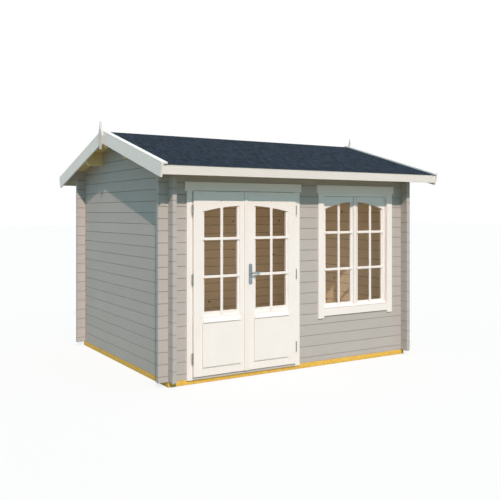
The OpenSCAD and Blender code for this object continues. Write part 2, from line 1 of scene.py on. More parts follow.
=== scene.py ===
import math
import bpy
from mathutils import Matrix, Vector


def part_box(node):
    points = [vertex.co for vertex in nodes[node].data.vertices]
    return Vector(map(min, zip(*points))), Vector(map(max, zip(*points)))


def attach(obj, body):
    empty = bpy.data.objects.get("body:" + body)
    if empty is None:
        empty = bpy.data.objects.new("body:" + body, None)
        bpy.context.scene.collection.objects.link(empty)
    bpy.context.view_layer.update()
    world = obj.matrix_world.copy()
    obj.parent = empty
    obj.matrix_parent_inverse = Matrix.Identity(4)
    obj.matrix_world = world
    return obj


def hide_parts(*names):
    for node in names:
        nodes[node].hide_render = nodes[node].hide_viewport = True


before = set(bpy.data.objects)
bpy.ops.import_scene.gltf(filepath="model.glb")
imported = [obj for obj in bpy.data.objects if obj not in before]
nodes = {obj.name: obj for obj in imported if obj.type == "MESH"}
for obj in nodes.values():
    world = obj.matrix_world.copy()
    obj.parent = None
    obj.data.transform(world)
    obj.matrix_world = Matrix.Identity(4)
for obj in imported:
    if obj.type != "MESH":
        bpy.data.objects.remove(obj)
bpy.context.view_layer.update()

# Sizes in millimetres are counted from the outer faces of the left and front walls and from the
# top of the bearers, as the joiner's drawing has them.
base_lo, base_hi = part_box("bearers")
CORNER = Vector((base_lo[0], base_lo[1], base_hi[2]))
CABIN_W = (base_hi[0] - base_lo[0]) * 1000
CABIN_D = (base_hi[1] - base_lo[1]) * 1000
PITCH = math.radians(15.65)
SOFFIT_RIDGE = 2445.4     # Underside of the roof boards at the ridge line.
LOG_H = 114.0
HALF_LOG = LOG_H / 2
LOG_T = 44.0


def at(x, y, z):
    """A point in metres, from its millimetres."""
    return CORNER + Vector((x, y, z)) / 1000


def mm_box(node_name):
    """The lowest and highest corners of a node, in millimetres."""
    lo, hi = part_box(node_name)
    return (Vector(lo) - CORNER) * 1000, (Vector(hi) - CORNER) * 1000


# ---------------------------------------------------------------- finishes

def new_finish(name):
    """A new finish, with its tree and its main shader."""
    finish = bpy.data.materials.new(name)
    finish.use_nodes = True
    tree = finish.node_tree
    shader = tree.nodes["Principled BSDF"]
    return finish, tree, shader


def node(tree, kind, **settings):
    """A shader node of one kind, added to a finish."""
    made = tree.nodes.new("ShaderNode" + kind)
    for key, value in settings.items():
        setattr(made, key, value)
    return made


def put(socket, value):
    """Sets a socket to a number or colour, or links it to another socket."""
    if hasattr(value, "is_output"):
        socket.id_data.links.new(value, socket)
    else:
        socket.default_value = value


def sums(tree, operation, *values):
    """One step of arithmetic."""
    made = node(tree, "Math", operation=operation)
    for slot, value in zip(made.inputs, values):
        put(slot, value)
    return made.outputs[0]


def times(tree, value, factor):
    return sums(tree, "MULTIPLY", value, factor)


def blend(tree, share, first, second):
    """The first colour with a share of the second laid over it."""
    made = node(tree, "Mix", data_type="RGBA", blend_type="MIX")
    put(made.inputs[0], share)
    put(made.inputs[6], first)
    put(made.inputs[7], second)
    return made.outputs[2]


def spread(tree, value, low, high, to_low=0.0, to_high=1.0):
    """Stretches the values between low and high over another range, and holds the rest at its ends."""
    made = node(tree, "MapRange")
    made.clamp = True
    for slot, number in zip(made.inputs[:5], (value, low, high, to_low, to_high)):
        put(slot, number)
    return made.outputs[0]


def cloud(tree, place, scale, detail=3.0, rough=0.55):
    """Soft uneven patches, 0 to 1."""
    made = node(tree, "TexNoise")
    put(made.inputs["Vector"], place)
    put(made.inputs["Scale"], scale)
    put(made.inputs["Detail"], detail)
    put(made.inputs["Roughness"], rough)
    return made.outputs["Fac"]


def cells(tree, place, scale):
    """Small cells, as grit lies, with their colours and the distance to the middle of each."""
    made = node(tree, "TexVoronoi", feature="F1")
    put(made.inputs["Vector"], place)
    put(made.inputs["Scale"], scale)
    return made.outputs


def place_of(tree):
    """The place on the piece, in metres from the middle of the cabin's foot."""
    return node(tree, "TexCoord").outputs["Object"]


def parts_of(tree, vector):
    made = node(tree, "SeparateXYZ")
    put(made.inputs[0], vector)
    return made.outputs


def joined(tree, x, y, z):
    made = node(tree, "CombineXYZ")
    for slot, value in zip(made.inputs, (x, y, z)):
        put(slot, value)
    return made.outputs[0]


def relief(tree, shader, height, distance, strength=1.0, under=None):
    """Fine unevenness of a face, over another unevenness where one is given."""
    made = node(tree, "Bump")
    put(made.inputs["Strength"], strength)
    put(made.inputs["Distance"], distance)
    put(made.inputs["Height"], height)
    if under is not None:
        put(made.inputs["Normal"], under)
    put(shader.inputs["Normal"], made.outputs[0])
    return made.outputs[0]


def timber(tree, along, board_no):
    """Grain of sawn timber that runs along X, Y or Z. Gives rings, fine streaks and knots, 0 to 1."""
    x, y, z = parts_of(tree, place_of(tree))
    run, side, up = {"X": (x, y, z), "Y": (y, x, z), "Z": (z, x, y)}[along]
    # Each board is sawn from another place in the tree.
    saw = node(tree, "TexWhiteNoise", noise_dimensions="1D")
    put(saw.inputs["W"], board_no)
    drift = parts_of(tree, saw.outputs["Color"])
    run = sums(tree, "ADD", run, times(tree, drift[0], 7.0))
    heart_side = sums(tree, "ADD", side, times(tree, drift[1], 0.05))
    heart_up = sums(tree, "ADD", up, times(tree, drift[2], 0.08))
    wander = cloud(tree, joined(tree, times(tree, run, 0.9), side, up), 4.0, 2.0)
    bend = times(tree, sums(tree, "SUBTRACT", wander, 0.5), 0.09)
    # A knot is where a branch reaches the face, and the rings swirl round it.
    off = cells(tree, joined(tree, times(tree, run, 0.75), side, up), 6.5)["Distance"]
    knot = spread(tree, off, 0.055, 0.11, 1.0, 0.0)
    swirl = spread(tree, off, 0.05, 0.32, 0.02, 0.0)
    ring = node(tree, "TexWave", wave_type="RINGS", rings_direction="X", wave_profile="SIN")
    put(ring.inputs["Vector"], joined(tree, times(tree, run, 0.02),
                                      sums(tree, "ADD", sums(tree, "ADD", heart_side, bend), swirl),
                                      sums(tree, "ADD", heart_up, bend)))
    put(ring.inputs["Scale"], 42.0)
    put(ring.inputs["Distortion"], 2.2)
    put(ring.inputs["Detail"], 2.0)
    put(ring.inputs["Detail Scale"], 1.4)
    fibres = joined(tree, times(tree, run, 5.0), times(tree, side, 260.0), times(tree, up, 260.0))
    streak = cloud(tree, fibres, 1.0, 3.0, 0.6)
    return {"rings": ring.outputs["Fac"], "streaks": streak, "knots": knot, "tone": drift[0]}


def grain_relief(tree, shader, grain, streaks, rings, distance, strength):
    """Raised grain, by how much its streaks and its rings stand out."""
    height = sums(tree, "ADD", times(tree, grain["streaks"], streaks), times(tree, grain["rings"], rings))
    relief(tree, shader, height, distance, strength)


def bare_colour(tree, grain, pale, deep, knot_colour):
    """Unpainted wood, from its pale early wood to its deep late wood, with its knots."""
    tone = spread(tree, grain["tone"], 0.0, 1.0, 0.0, 0.55)
    wood = blend(tree, times(tree, grain["rings"], 0.5), pale, deep)
    wood = blend(tree, times(tree, spread(tree, grain["streaks"], 0.35, 0.75), 0.35), wood, deep)
    wood = blend(tree, times(tree, tone, 0.5), wood, deep)
    return blend(tree, times(tree, grain["knots"], 0.85), wood, knot_colour)


def boards_past(tree, place, first, width):
    """How many boards of a width, in metres, lie between the first one's edge and a place."""
    return sums(tree, "DIVIDE", sums(tree, "SUBTRACT", place, first), width)


def joint_shade_mask(tree, courses):
    """1 in the V of each log joint, fading to 0 on the faces: the mask of the painted shade in each joint."""
    off = sums(tree, "PINGPONG", courses, 0.5)
    return spread(tree, off, 2.2 / LOG_H, 5.0 / LOG_H, 1.0, 0.0)


def splashes(tree, z, highest, scale, low, high):
    """1 where rain splashes mud onto the foot of a wall, fading to 0 at its highest."""
    return times(tree, spread(tree, z, 0.05, highest, 1.0, 0.0),
                 spread(tree, cloud(tree, place_of(tree), scale, 5.0), low, high))


# Early wood, late wood and knots of each kind of bare timber.
WALL_PINE = ((0.897, 0.765, 0.580, 1), (0.702, 0.572, 0.402, 1), (0.18, 0.10, 0.05, 1))
GOLDEN = ((0.96, 0.75, 0.38, 1), (0.82, 0.59, 0.25, 1), (0.17, 0.09, 0.035, 1))
BLOND = ((0.84, 0.66, 0.44, 1), (0.64, 0.46, 0.27, 1), (0.16, 0.09, 0.045, 1))
TREATED = ((0.93, 0.59, 0.11, 1), (0.74, 0.41, 0.055, 1), (0.28, 0.13, 0.03, 1))


def log_finish(name, along, first):
    """Warm grey opaque paint outside and bare planed pine inside the room."""
    finish, tree, shader = new_finish(name)
    x, y, z = parts_of(tree, place_of(tree))
    courses = boards_past(tree, z, first, LOG_H / 1000)
    grain = timber(tree, along, sums(tree, "FLOOR", courses))
    inner_face = LOG_T - 0.8
    inside = sums(tree, "MULTIPLY",
                  sums(tree, "LESS_THAN", sums(tree, "ABSOLUTE", x), (CABIN_W / 2 - inner_face) / 1000),
                  sums(tree, "LESS_THAN", sums(tree, "ABSOLUTE", y), (CABIN_D / 2 - inner_face) / 1000))
    fading = cloud(tree, joined(tree, times(tree, x, 0.7), times(tree, y, 0.7), z), 2.6, 3.0)
    paint = blend(tree, spread(tree, fading, 0.3, 0.7), (0.520, 0.480, 0.460, 1), (0.556, 0.516, 0.499, 1))
    paint = blend(tree, times(tree, grain["tone"], 0.5), paint, (0.502, 0.464, 0.450, 1))
    fibres = times(tree, spread(tree, grain["streaks"], 0.4, 0.8), 0.16)
    paint = blend(tree, fibres, paint, (0.33, 0.30, 0.275, 1))
    paint = blend(tree, times(tree, grain["rings"], 0.07), paint, (0.34, 0.31, 0.28, 1))
    paint = blend(tree, times(tree, grain["knots"], 0.14), paint, (0.30, 0.26, 0.22, 1))
    mud = splashes(tree, z, 0.32, 9.0, 0.42, 0.7)
    paint = blend(tree, times(tree, mud, 0.10), paint, (0.34, 0.31, 0.27, 1))
    colour = blend(tree, inside, paint, bare_colour(tree, grain, *WALL_PINE))
    # Painted shade: the V of each log joint is darkened where its shadow falls, strongly outside and faintly
    # inside the room.
    seam = times(tree, joint_shade_mask(tree, courses), spread(tree, inside, 0.0, 1.0, 0.38, 0.08))
    put(shader.inputs["Base Color"], blend(tree, seam, colour, (0.055, 0.052, 0.048, 1)))
    put(shader.inputs["Roughness"], spread(tree, grain["streaks"], 0.2, 0.8, 0.56, 0.70))
    height = sums(tree, "ADD", times(tree, grain["streaks"], 0.5),
                  sums(tree, "ADD", times(tree, grain["rings"], 0.35), times(tree, grain["knots"], -0.4)))
    relief(tree, shader, height, 0.0007, 0.8)
    return finish


def pine_finish(name, along, width, first, across, tones):
    """Bare planed pine: boards of a width that lie side by side, or beams."""
    finish, tree, shader = new_finish(name)
    x, y, z = parts_of(tree, place_of(tree))
    side = {"X": x, "Y": y, "Z": z}[across]
    grain = timber(tree, along, sums(tree, "FLOOR", boards_past(tree, side, first, width)))
    put(shader.inputs["Base Color"], bare_colour(tree, grain, *tones))
    put(shader.inputs["Roughness"], spread(tree, grain["streaks"], 0.2, 0.8, 0.50, 0.66))
    grain_relief(tree, shader, grain, 0.5, 0.35, 0.0006, 0.7)
    return finish


def treated_finish(name, along):
    """Golden pressure-treated bearers, darker where they draw up damp."""
    finish, tree, shader = new_finish(name)
    x, y, z = parts_of(tree, place_of(tree))
    grain = timber(tree, along, sums(tree, "FLOOR", times(tree, x if along == "Y" else y, 2.0)))
    damp = times(tree, spread(tree, z, 0.0, 0.03, 1.0, 0.0), cloud(tree, place_of(tree), 14.0, 4.0))
    colour = blend(tree, times(tree, damp, 0.35), bare_colour(tree, grain, *TREATED), (0.30, 0.17, 0.05, 1))
    put(shader.inputs["Base Color"], colour)
    put(shader.inputs["Roughness"], spread(tree, grain["streaks"], 0.2, 0.8, 0.62, 0.8))
    grain_relief(tree, shader, grain, 1.0, 0.5, 0.0008, 0.8)
    return finish


def trim_finish(name, along, white=1.0, grain_shows=1.0):
    """Cream white opaque paint over planed boards. A lower white mixes a brown into the paint and darkens it,
    and grain_shows scales how much grain shows.
    """
    finish, tree, shader = new_finish(name)
    x, y, z = parts_of(tree, place_of(tree))
    board_no = sums(tree, "FLOOR", times(tree, sums(tree, "ADD", x, times(tree, y, 3.1)), 3.0))
    grain = timber(tree, along, board_no)
    paint = blend(tree, spread(tree, cloud(tree, place_of(tree), 3.2, 4.0), 0.3, 0.7),
                  (0.962, 0.898, 0.876, 1), (0.986, 0.932, 0.914, 1))
    paint = blend(tree, 1.0 - white, paint, (0.30, 0.25, 0.18, 1))
    fibres = times(tree, spread(tree, grain["streaks"], 0.45, 0.85), 0.16 * grain_shows)
    paint = blend(tree, fibres, paint, (0.78, 0.69, 0.60, 1))
    paint = blend(tree, times(tree, grain["rings"], 0.05 * grain_shows), paint, (0.66, 0.58, 0.49, 1))
    paint = blend(tree, times(tree, grain["knots"], 0.10), paint, (0.72, 0.58, 0.40, 1))
    mud = splashes(tree, z, 0.30, 11.0, 0.45, 0.75)
    paint = blend(tree, times(tree, mud, 0.05), paint, (0.50, 0.43, 0.34, 1))
    put(shader.inputs["Base Color"], paint)
    put(shader.inputs["Roughness"], spread(tree, grain["streaks"], 0.2, 0.8, 0.38, 0.52))
    grain_relief(tree, shader, grain, 0.6, 0.3, 0.0004, 0.7)
    return finish


def felt_finish():
    """Mineral-faced roofing felt: slate granules in bitumen, with streaks washed down it by rain."""
    finish, tree, shader = new_finish("slate_felt")
    place = place_of(tree)
    granules = cells(tree, place, 520.0)
    slate = parts_of(tree, cells(tree, place, 260.0)["Color"])[0]
    x, y, z = parts_of(tree, place)
    washed = joined(tree, times(tree, x, 1.4), times(tree, y, 0.32), z)
    patch = spread(tree, cloud(tree, washed, 22.0, 3.0, 0.6), 0.42, 0.59)
    wide = spread(tree, cloud(tree, place, 1.6, 3.0), 0.3, 0.7)
    pale_slate = times(tree, spread(tree, slate, 0.72, 0.98), 0.5)
    dark_slate = times(tree, spread(tree, slate, 0.25, 0.0), 0.6)
    colour = blend(tree, patch, (0.0007, 0.0068, 0.0145, 1), (0.0225, 0.0380, 0.0660, 1))
    colour = blend(tree, pale_slate, colour, (0.029, 0.045, 0.072, 1))
    colour = blend(tree, dark_slate, colour, (0.004, 0.006, 0.010, 1))
    colour = blend(tree, times(tree, wide, 0.25), colour, (0.010, 0.017, 0.030, 1))
    put(shader.inputs["Base Color"], colour)
    put(shader.inputs["Roughness"], 0.93)
    put(shader.inputs["Specular IOR Level"], 0.15)
    swell = relief(tree, shader, cloud(tree, place, 9.0, 3.0), 0.004, 0.35)
    relief(tree, shader, granules["Distance"], 0.0012, 0.8, swell)
    return finish


def steel_finish(name, colour, rough):
    """Drawn steel, dulled in smears."""
    finish, tree, shader = new_finish(name)
    place = place_of(tree)
    x, y, z = parts_of(tree, place)
    lines = joined(tree, times(tree, x, 2600.0), times(tree, y, 2600.0), times(tree, z, 60.0))
    drawn = cloud(tree, lines, 1.0, 2.0)
    smear = cloud(tree, place, 60.0, 4.0)
    dull = tuple(c * 0.72 for c in colour) + (1,)
    put(shader.inputs["Base Color"], blend(tree, spread(tree, smear, 0.35, 0.7), dull, colour + (1,)))
    put(shader.inputs["Metallic"], 1.0)
    put(shader.inputs["Roughness"], spread(tree, drawn, 0.2, 0.8, rough - 0.06, rough + 0.10))
    relief(tree, shader, drawn, 0.00006, 0.6)
    return finish


def glass_finish():
    """Clear glass, so thin that it bends no light."""
    finish, tree, shader = new_finish("clear_pane")
    place = place_of(tree)
    put(shader.inputs["Base Color"], (0.06, 0.08, 0.085, 1))
    put(shader.inputs["Alpha"], 0.035)
    put(shader.inputs["Specular IOR Level"], 0.6)
    put(shader.inputs["Roughness"], spread(tree, cloud(tree, place, 5.0, 3.0), 0.3, 0.7, 0.02, 0.06))
    relief(tree, shader, cloud(tree, place, 2.2, 2.0), 0.003, 0.25)
    return finish


def dark_finish(name, colour, rough):
    """Black rubber and dark screw heads, and painted shade: the dark strips of the shade lines and the shade
    inside a keyhole.
    """
    finish, tree, shader = new_finish(name)
    mottle = cloud(tree, place_of(tree), 120.0, 3.0)
    deep = tuple(c * 0.7 for c in colour) + (1,)
    put(shader.inputs["Base Color"], blend(tree, mottle, deep, colour + (1,)))
    put(shader.inputs["Roughness"], spread(tree, mottle, 0.2, 0.8, rough - 0.08, rough + 0.08))
    return finish


front_paint = log_finish("log_paint_front", "X", CORNER.z - HALF_LOG / 1000)
side_paint = log_finish("log_paint_side", "Y", CORNER.z)
trim_up = trim_finish("trim_paint_upright", "Z")
trim_across = trim_finish("trim_paint_level", "X")
# Painted shade: the barge boards and caps get a copy of the trim paint, with its grain along Y, a little
# darker and warmer to match how their side faces look in the bluish side light.
trim_slope = trim_finish("trim_paint_slope", "Y", 0.95)
# Painted shade: the finials get a darker copy of the trim paint, so that their lit faces read grey as shaded
# faces do.
finial_shaded_paint = trim_finish("finial_shaded_paint", "Z", 0.66)
# Partly painted shade: the sill's paint is made greyer so that the leaves' shadow line on it reads darker;
# the sill is also greyer than the trims when lit.
sill_paint = trim_finish("sill_paint", "X", 0.50)
fascia_paint = trim_finish("fascia_paint", "X", 0.81, 3.5)
roof_pine = pine_finish("roof_board_pine", "Y", 0.09675, -1.6932, "X", GOLDEN)
floor_pine = pine_finish("floor_board_pine", "X", 0.0965, -1.2057, "Y", BLOND)
beam_pine = pine_finish("purlin_pine", "X", 0.3, -0.2, "Y", GOLDEN)
tongue_pine = pine_finish("tongue_pine", "X", LOG_H / 1000, 0.0, "Z", BLOND)
bearer_long = treated_finish("bearer_timber_long", "X")
bearer_cross = treated_finish("bearer_timber_cross", "Y")
felt = felt_finish()
hinge_steel = steel_finish("hinge_steel", (0.38, 0.385, 0.35), 0.42)
handle_steel = steel_finish("handle_steel", (0.33, 0.40, 0.45), 0.44)
screw_steel = steel_finish("screw_steel", (0.62, 0.61, 0.58), 0.36)
pane_glass = glass_finish()
seal_and_shade_dark = dark_finish("seal_rubber_and_shade", (0.05, 0.052, 0.05), 0.7)
lock_dark = dark_finish("lock_dark", (0.035, 0.035, 0.04), 0.45)


# ---------------------------------------------------------------- opening and shaping pieces

# Slot names that are passed along with more than one kind of piece.
PAINT, BARE, TREATED_WOOD, STEEL = "painted_timber", "bare_timber", "treated_timber", "handle_steel"
CREASE = 16           # Degrees. Faces that meet at a flatter angle are shaded as one.
MERGE = 0.00002       # Metres. Corners nearer to each other than this are one.
LEFT, RIGHT, DOWN, UP = (-1, 0, 0), (1, 0, 0), (0, 0, -1), (0, 0, 1)


def start():
    """Leaves every piece closed and not selected."""
    if bpy.context.mode != "OBJECT":
        bpy.ops.object.mode_set(mode="OBJECT")
    bpy.ops.object.select_all(action="DESELECT")


def take(piece):
    start()
    piece.select_set(True)
    bpy.context.view_layer.objects.active = piece


def open_up(piece):
    """Opens a piece for shaping, with all of it selected."""
    take(piece)
    bpy.ops.object.mode_set(mode="EDIT")
    bpy.ops.mesh.select_all(action="SELECT")


def close_up():
    bpy.ops.object.mode_set(mode="OBJECT")


def settle(piece):
    """Puts the place, turn and scale of a piece into its mesh."""
    take(piece)
    bpy.ops.object.transform_apply(location=True, rotation=True, scale=True)


def ease(piece, width, segments=2, angle=25, smooth=CREASE):
    """Rounds the sharp edges of a piece, as sanding does."""
    take(piece)
    sanding = piece.modifiers.new("sanding", "BEVEL")
    sanding.width = width / 1000
    sanding.segments = segments
    sanding.limit_method = "ANGLE"
    sanding.angle_limit = math.radians(angle)
    bpy.ops.object.modifier_apply(modifier=sanding.name)
    open_up(piece)
    bpy.ops.mesh.dissolve_degenerate(threshold=0.00001)
    close_up()
    bpy.ops.object.shade_smooth_by_angle(angle=math.radians(smooth))


def stick(name, lo, hi):
    """A length of timber between two corners, in millimetres."""
    start()
    lo, hi = Vector(lo), Vector(hi)
    bpy.ops.mesh.primitive_cube_add(size=1, location=at(*((lo + hi) / 2)))
    piece = bpy.context.object
    piece.name = name
    piece.scale = (hi - lo) / 1000
    settle(piece)
    return piece


def trim_by(piece, point, normal):
    """Saws off what lies past a plane, which passes through a point in millimetres."""
    open_up(piece)
    bpy.ops.mesh.bisect(plane_co=at(*point), plane_no=normal, use_fill=True, clear_outer=True,
                        threshold=0.000002)
    close_up()


def pick(piece, test):
    """Opens a piece for shaping, with only the corners selected whose place in millimetres passes a test."""
    open_up(piece)
    bpy.context.tool_settings.mesh_select_mode = (True, False, False)
    bpy.ops.mesh.select_all(action="DESELECT")
    close_up()
    for corner in piece.data.vertices:
        corner.select = bool(test((corner.co - CORNER) * 1000))
    bpy.ops.object.mode_set(mode="EDIT")


def push(piece, test, step):
    """Moves the corners that pass a test by a step in millimetres."""
    pick(piece, test)
    bpy.ops.transform.translate(value=Vector(step) / 1000)
    close_up()


def round_edge(piece, test, width):
    """Rounds only the edge whose corners pass a test."""
    pick(piece, test)
    bpy.ops.mesh.bevel(offset=width / 1000, segments=2, affect="EDGES")
    take(piece)
    bpy.ops.object.shade_smooth_by_angle(angle=math.radians(CREASE))


def again(piece, step):
    """Another of the same, a step away in millimetres, with its own mesh."""
    twin = piece.copy()
    twin.data = piece.data.copy()
    bpy.context.scene.collection.objects.link(twin)
    twin.data.transform(Matrix.Translation(Vector(step) / 1000))
    return twin


def row_of(piece, count, step):
    return [piece] + [again(piece, Vector(step) * k) for k in range(1, count)]


def join(pieces, name):
    start()
    for piece in pieces:
        piece.select_set(True)
    bpy.context.view_layer.objects.active = pieces[0]
    if len(pieces) > 1:
        bpy.ops.object.join()
    made = bpy.context.object
    made.name = name
    made.data.name = name
    return made


# ---------------------------------------------------------------- placing finished pieces

def dress(node_name, finish):
    """A piece that stays as the drawing has it gets only its finish."""
    materials = nodes[node_name].data.materials
    materials.clear()
    materials.append(finish)


def fit_to(piece, body, slot, *replaced):
    """Fixes a finished piece to the body that carries it, in place of the drawing's own pieces."""
    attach(piece, body)
    if replaced:
        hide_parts(*replaced)


def fit_new(piece, body, finish, slot, *replaced):
    """Gives a piece its finish, and fixes it."""
    piece.data.materials.clear()
    piece.data.materials.append(finish)
    fit_to(piece, body, slot, *replaced)


def cad_copy(node_name, name):
    """A copy of a node, with its loose triangles merged to whole faces."""
    piece = bpy.data.objects.new(name, nodes[node_name].data.copy())
    bpy.context.scene.collection.objects.link(piece)
    open_up(piece)
    bpy.ops.mesh.remove_doubles(threshold=MERGE)
    bpy.ops.mesh.dissolve_limited(angle_limit=math.radians(0.4))
    close_up()
    return piece


def sanded_copy(node_name, body, finish, slot, width, segments=2):
    """The same piece with its edges rounded and a fine finish."""
    piece = cad_copy(node_name, node_name + "_sanded")
    ease(piece, width, segments)
    fit_new(piece, body, finish, slot, node_name)


def members(node_name, body, cuts, width):
    """The same piece as its separate stiles and rails. Each cut is a member's finish, and the planes
    that bound it, as (point, way out)."""
    made = []
    for finish, planes in cuts:
        piece = cad_copy(node_name, "member")
        for point, way in planes:
            trim_by(piece, point, way)
        ease(piece, width)
        piece.data.materials.clear()
        piece.data.materials.append(finish)
        made.append(piece)
    fit_to(join(made, node_name + "_joinery"), body, PAINT, node_name)


# ---------------------------------------------------------------- walls

SIDES = ("left", "right")
WALLS = ("front_wall_left", "front_wall_middle", "front_wall_right", "front_wall_low", "front_wall_lintel",
         "front_wall_top", "back_wall", "left_wall", "right_wall", "left_gable", "right_gable")


def log_tongues():
    """The tongue of each log, which fills the slit between it and the next one."""
    half, past, set_back, under_roof, under_window = 5.0, 92.0, 6.0, 12.0, 520.0
    middle = CABIN_D / 2
    runs = set()
    for wall in WALLS:
        lo, hi = mm_box(wall)
        upright = wall.startswith(SIDES)
        z = LOG_H if upright else HALF_LOG
        highest = under_window if wall == "front_wall_low" else hi.z + 1
        while z < highest:
            if z > lo.z + 1 and upright:
                reach = min(middle + past, (SOFFIT_RIDGE - z - under_roof) / math.tan(PITCH))
                x = LOG_T / 2 if wall.startswith("left") else CABIN_W - LOG_T / 2
                runs.add((x - half, middle - reach, z - half, x + half, middle + reach, z + half))
            elif z > lo.z + 1 or (z > lo.z - 1 and wall == "front_wall_top"):
                y = LOG_T / 2 if wall.startswith("front") else CABIN_D - LOG_T / 2
                x0, x1 = max(lo.x + set_back, -past), min(hi.x - set_back, CABIN_W + past)
                runs.add((x0, y - half, z - half, x1, y + half, z + half))
            z += LOG_H
    strips = [stick("tongue", run[:3], run[3:]) for run in sorted(runs)]
    for strip in strips:
        ease(strip, 1.5, 1)
    fit_new(join(strips, "log_tongues"), "cabin", tongue_pine, "painted_logs")


for wall in WALLS:
    dress(wall, side_paint if wall.startswith(SIDES) else front_paint)
log_tongues()


# ---------------------------------------------------------------- base and floor

BOARD_GAP = 0.3       # From the edge of a floor or roof board to the middle of its joint.


def bearer_lengths():
    """The bearers, with the front one butted from two lengths."""
    lo, hi = mm_box("bearers")
    width, joint, half_joint, butt = 60.0, 2516.0, 1.4, 0.5
    front, back = lo.y + width, hi.y - width
    long_ones = [stick("bearer", lo, (joint - half_joint, front, hi.z)),
                 stick("bearer", (joint + half_joint, lo.y, lo.z), (hi.x, front, hi.z)),
                 stick("bearer", (lo.x, back, lo.z), hi)]
    cross_ones = [stick("bearer", (x, front + butt, lo.z), (x + width, back - butt, hi.z))
                  for x in (lo.x, hi.x - width)]
    for length in long_ones + cross_ones:
        ease(length, 2.5)
    fit_new(join(long_ones, "long_bearers"), "cabin", bearer_long, TREATED_WOOD, "bearers")
    fit_new(join(cross_ones, "cross_bearers"), "cabin", bearer_cross, TREATED_WOOD)


def floor_boards():
    lo, hi = mm_box("floor")
    count = 25
    step = (hi.y - lo.y) / count
    board = stick("floor_board", (lo.x, lo.y + BOARD_GAP, lo.z), (hi.x, lo.y + step - BOARD_GAP, hi.z))
    ease(board, 1.6, 1)
    boards = join(row_of(board, count, (0, step, 0)), "floor_boards")
    fit_new(boards, "cabin", floor_pine, BARE, "floor")


bearer_lengths()
floor_boards()
sanded_copy("joists", "cabin", bearer_cross, TREATED_WOOD, 2.0)


# ---------------------------------------------------------------- roof

def slope_ends(node_name, front):
    """Depth of the eave and of the ridge of one slope."""
    lo, hi = mm_box(node_name)
    return (lo.y, hi.y) if front else (hi.y, lo.y)


def sloped(name, x0, x1, ends, low_ridge, thick):
    """A board down the slope, cut plumb at both ends. low_ridge is its underside at the ridge line."""
    y_eave, y_ridge = ends
    fall = math.tan(PITCH)
    z_eave = low_ridge - abs(CABIN_D / 2 - y_eave) * fall
    z_ridge = low_ridge - abs(CABIN_D / 2 - y_ridge) * fall
    board = stick(name, (x0, min(ends), z_eave), (x1, max(ends), z_eave + thick / math.cos(PITCH)))
    push(board, lambda p: abs(p.y - y_ridge) < 1, (0, 0, z_ridge - z_eave))
    return board


def roof_boarding(node_name, front):
    lo, hi = mm_box(node_name)
    count = 35
    thick = 18.8
    step = (hi.x - lo.x) / count
    board = sloped("roof_board", lo.x + BOARD_GAP, lo.x + step - BOARD_GAP, slope_ends(node_name, front),
                   SOFFIT_RIDGE, thick)
    ease(board, 3.0, 1)
    boards = join(row_of(board, count, (step, 0, 0)), node_name + "_laid")
    fit_new(boards, "cabin", roof_pine, BARE, node_name)


def felt_sheet(node_name, front):
    """The felt of one slope, a little thinner than the gap that it fills between the boards and the caps."""
    gap, thick, clear = 4.0, 3.9, 0.05
    lo, hi = mm_box(node_name)
    ends = slope_ends(node_name, front)
    low = hi.z - gap / math.cos(PITCH) + clear * math.tan(PITCH)
    low_ridge = low + abs(CABIN_D / 2 - ends[1]) * math.tan(PITCH)
    sheet = sloped(node_name + "_laid", lo.x, hi.x, ends, low_ridge, thick)
    ease(sheet, 1.4)
    fit_new(sheet, "cabin", felt, "roofing_felt", node_name)


roof_boarding("front_roof_boards", True)
roof_boarding("back_roof_boards", False)
felt_sheet("front_felt", True)
felt_sheet("back_felt", False)
sanded_copy("ridge_purlin", "cabin", beam_pine, BARE, 3.0)
sanded_copy("side_purlins", "cabin", beam_pine, BARE, 8.0, 1)


# ---------------------------------------------------------------- painted boards

for board, finish, width in (
        ("fascias", fascia_paint, 1.6), ("left_barge_boards", trim_slope, 1.2),
        ("right_barge_boards", trim_slope, 1.2), ("barge_caps", trim_slope, 1.0),
        ("finials", finial_shaded_paint, 0.8), ("door_frame", trim_up, 1.2), ("door_sill", sill_paint, 1.5),
        ("door_casing", trim_up, 1.8), ("inside_casings", trim_up, 1.8), ("window_frame", trim_up, 1.2),
        ("window_casing", trim_up, 1.8)):
    sanded_copy(board, "cabin", finish, PAINT, width)
sanded_copy("meeting_strip", "left_door", trim_up, PAINT, 1.2)


# ---------------------------------------------------------------- stiles and rails

def framed(x0, x1, rails):
    """Cuts for two stiles, split at x0 and x1, and the rails between them, given as (lowest, highest)."""
    seam = 0.1
    cuts = [(trim_up, [((x0 - seam, 0, 0), RIGHT)]), (trim_up, [((x1 + seam, 0, 0), LEFT)])]
    for low, high in rails:
        planes = [((x0 + seam, 0, 0), LEFT), ((x1 - seam, 0, 0), RIGHT)]
        if low is not None:
            planes.append(((0, 0, low), DOWN))
        if high is not None:
            planes.append(((0, 0, high), UP))
        cuts.append((trim_across, planes))
    return cuts


DOOR_MID = 845.0
LEFT_OPENING = (348.0, 760.0)
RIGHT_OPENING = (2 * DOOR_MID - 760.0, 2 * DOOR_MID - 348.0)
leaf_rails = ((None, 300.0), (300.0, 700.0), (1500.0, None))
members("left_leaf", "left_door", framed(*LEFT_OPENING, leaf_rails), 1.5)
members("right_leaf", "right_door", framed(*RIGHT_OPENING, leaf_rails), 1.5)

